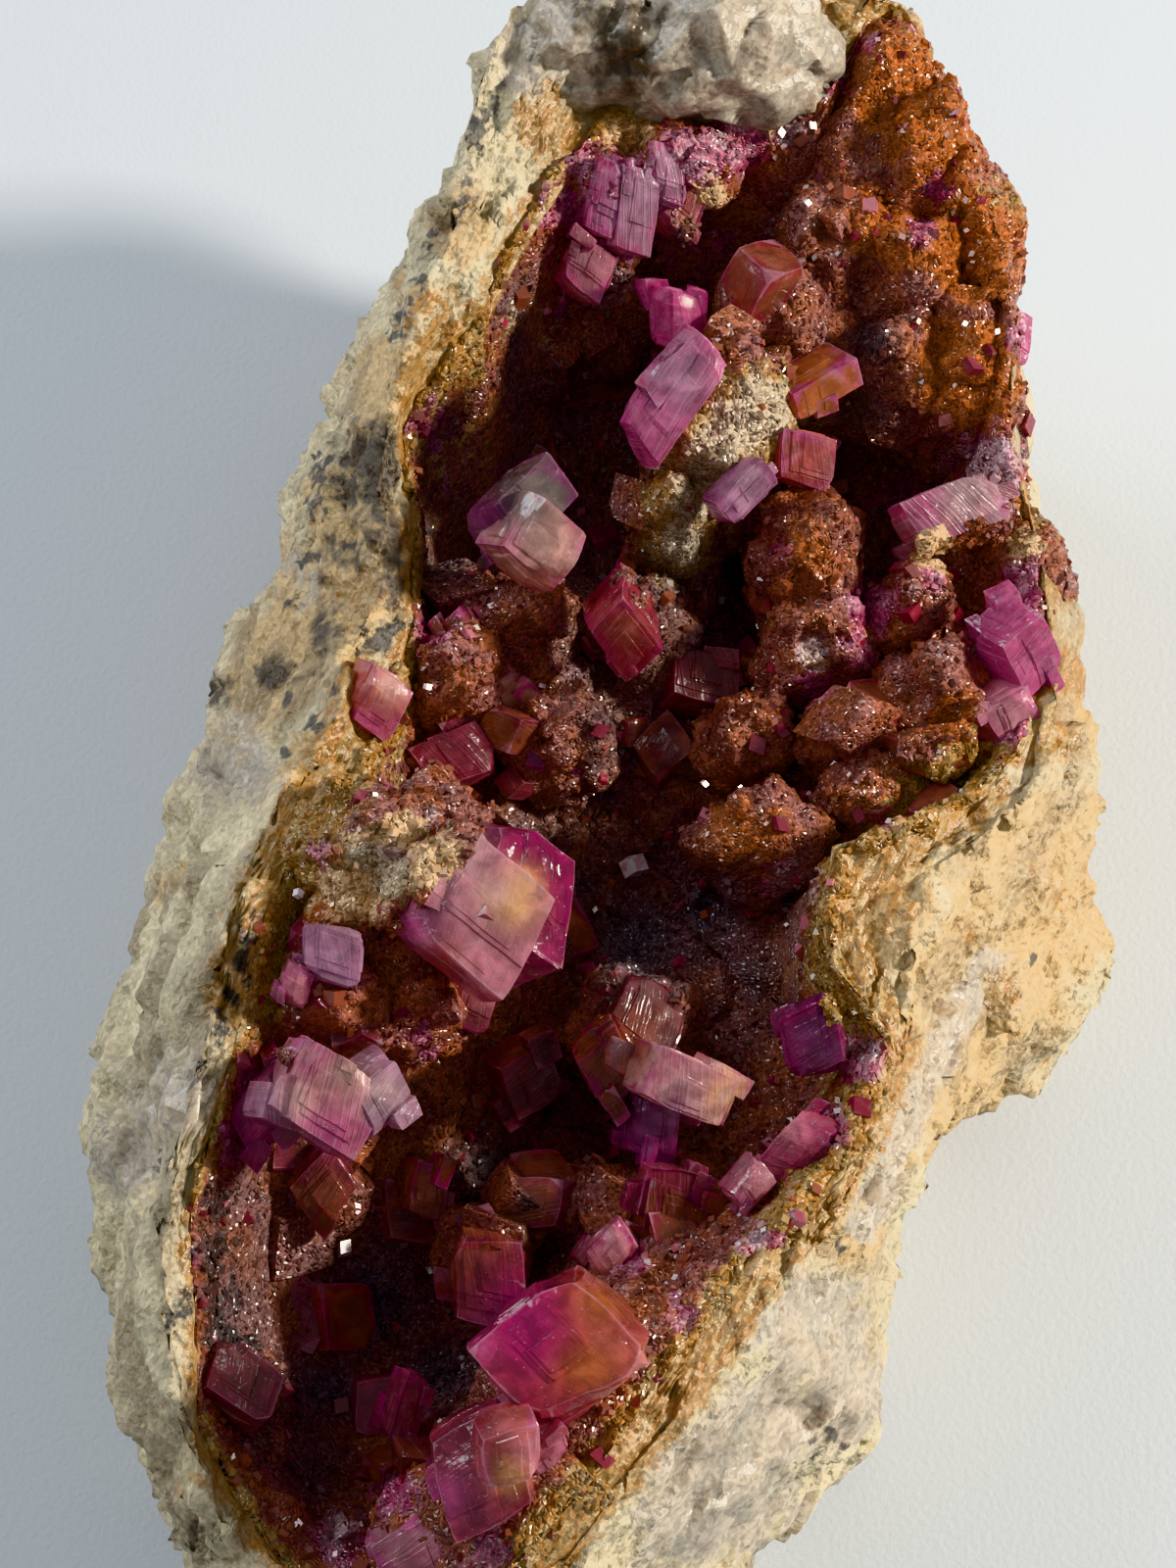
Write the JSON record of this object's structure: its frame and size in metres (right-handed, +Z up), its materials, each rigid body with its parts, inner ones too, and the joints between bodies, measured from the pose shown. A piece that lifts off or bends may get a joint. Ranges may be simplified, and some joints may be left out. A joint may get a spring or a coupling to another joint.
{
  "type": "cobaltoan dolomite specimen",
  "caption": "Slab of pale dolomite rock with an open pocket lined by a rusty druse and filled with upright pink rhombs; lies on a flat foot as a display specimen.",
  "frame": {"origin": "under the middle of the specimen's outline, on the face that it lies on", "axes": "+Z up, +Y along the slab towards the end with the pale overhanging block, +X to the right of it"},
  "size_m": [0.0536, 0.0878, 0.034],
  "materials": {
    "rock": "rough weathered carbonate rock, grey-white to tan with dark grey patches and a sugary brown band",
    "druse": "rusty orange-brown sugar-like druse with glinting grains, almost black in the hollows",
    "crystal": "glassy translucent pink to magenta dolomite with growth steps and a deeper rim"
  },
  "bodies": {
    "root": {"matrix_rock": "rock", "druse_crust": "druse", "crystal_blades_under_cap": "crystal", "crystal_block_behind_island": "crystal", "crystal_island_rim_plate": "crystal", "crystal_island_rim_violet": "crystal", "crystal_island_rim_rust": "crystal", "crystal_clear_twin": "crystal", "crystal_magenta_rhomb": "crystal", "crystal_left_rim_rhomb": "crystal", "crystal_broken_plate_left": "crystal", "crystal_broken_plate_right": "crystal", "crystal_rust_pair_left": "crystal", "crystal_ridge_pair": "crystal", "crystal_ridge_foot": "crystal", "crystal_ridge_spike": "crystal", "crystal_lavender_pair": "crystal", "crystal_left_cluster": "crystal", "crystal_orange_heart_group": "crystal", "crystal_wedge_plate": "crystal", "crystal_right_rim_blades": "crystal", "crystal_front_group": "crystal", "crystal_front_edge_slab": "crystal", "crystal_white_faced_rhomb": "crystal", "crystal_shade_prism": "crystal", "crystal_rust_block_front": "crystal", "crystal_layered_block": "crystal", "crystal_violet_corner": "crystal", "crystal_orange_rhomb": "crystal", "crystal_shade_rhomb": "crystal", "crystal_rust_rhomb_low": "crystal", "crystal_east_rim_pair": "crystal", "crystal_east_shelf": "crystal", "crystal_east_sliver": "crystal", "crystal_east_rust_block": "crystal", "crystal_striped_rhomb": "crystal", "crystal_cap_edge_rhomb": "crystal"}
  },
  "joints": []
}
